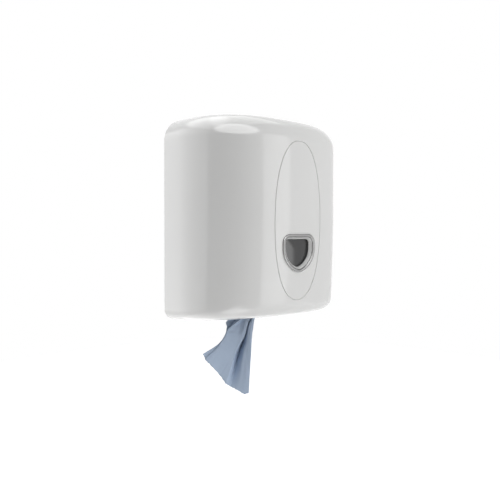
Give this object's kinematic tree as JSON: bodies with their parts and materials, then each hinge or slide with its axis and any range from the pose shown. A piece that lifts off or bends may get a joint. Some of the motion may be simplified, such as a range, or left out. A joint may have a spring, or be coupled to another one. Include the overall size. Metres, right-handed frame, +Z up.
{
  "type": "centrefeed roll dispenser",
  "caption": "Wall-hung centrefeed paper roll dispenser with a swing-down cover, a cam lock and a feed nozzle.",
  "frame": {"origin": "on the wall, behind the middle of the cover's height and width", "axes": "+Y into the wall, -Y out of the front, +Z up, +X to the right seen from the front"},
  "size_m": [0.256, 0.2081, 0.4671],
  "materials": {
    "white_gloss_plastic": "polished moulding",
    "white_satin_plastic": "satin moulding",
    "grey_plastic": "satin moulding",
    "silver_bezel": "silver lacquer",
    "smoked_lens": "smoked clear plastic",
    "zinc_plated_steel": "zinc plated",
    "lock_chrome": "polished",
    "blue_paper": "soft embossed paper"
  },
  "bodies": {
    "base": {"back_plate": "white_satin_plastic", "roll_shelf": "white_satin_plastic", "shelf_bracket_left": "zinc_plated_steel", "shelf_bracket_right": "zinc_plated_steel", "shelf_screw_left": "zinc_plated_steel", "shelf_screw_right": "zinc_plated_steel", "bracket_screw_left": "zinc_plated_steel", "bracket_screw_right": "zinc_plated_steel", "tray_screw_left": "zinc_plated_steel", "tray_screw_right": "zinc_plated_steel", "keeper_screw_lower": "zinc_plated_steel", "keeper_screw_upper": "zinc_plated_steel", "latch_keeper": "zinc_plated_steel", "feed_nozzle": "grey_plastic", "nozzle_ring": "grey_plastic", "paper_roll": "blue_paper", "hinge_bush_left": "grey_plastic", "hinge_bush_right": "grey_plastic"},
    "cover": {"cover_shell": "white_gloss_plastic", "window_bezel": "silver_bezel", "window_lens": "smoked_lens", "window_retainer": "grey_plastic", "window_screw_upper_left": "zinc_plated_steel", "window_screw_upper_right": "zinc_plated_steel", "window_screw_lower_left": "zinc_plated_steel", "window_screw_lower_right": "zinc_plated_steel", "hinge_pin_left": "zinc_plated_steel", "hinge_pin_right": "zinc_plated_steel", "pin_clip_left": "zinc_plated_steel", "pin_clip_right": "zinc_plated_steel", "lock_barrel": "lock_chrome", "lock_nut": "zinc_plated_steel"},
    "lock": {"lock_plug": "lock_chrome", "lock_cam": "zinc_plated_steel", "cam_screw": "zinc_plated_steel"},
    "paper": {"paper_tail": "blue_paper"}
  },
  "joints": [
    {"name": "cover_hinge", "type": "hinge", "parent": "base", "child": "cover", "pos_m": [0, -0.016, -0.159], "axis": [1, 0, 0], "range_deg": [0, 90]},
    {"name": "lock_turn", "type": "hinge", "parent": "cover", "child": "lock", "pos_m": [0, -0.03, 0.16655], "axis": [0, 0.1366, -0.9906], "range_deg": [0, 90]},
    {"name": "paper_pull", "type": "slide", "parent": "base", "child": "paper", "axis": [0, 0, -1], "range_m": [0, 0.04]}
  ]
}
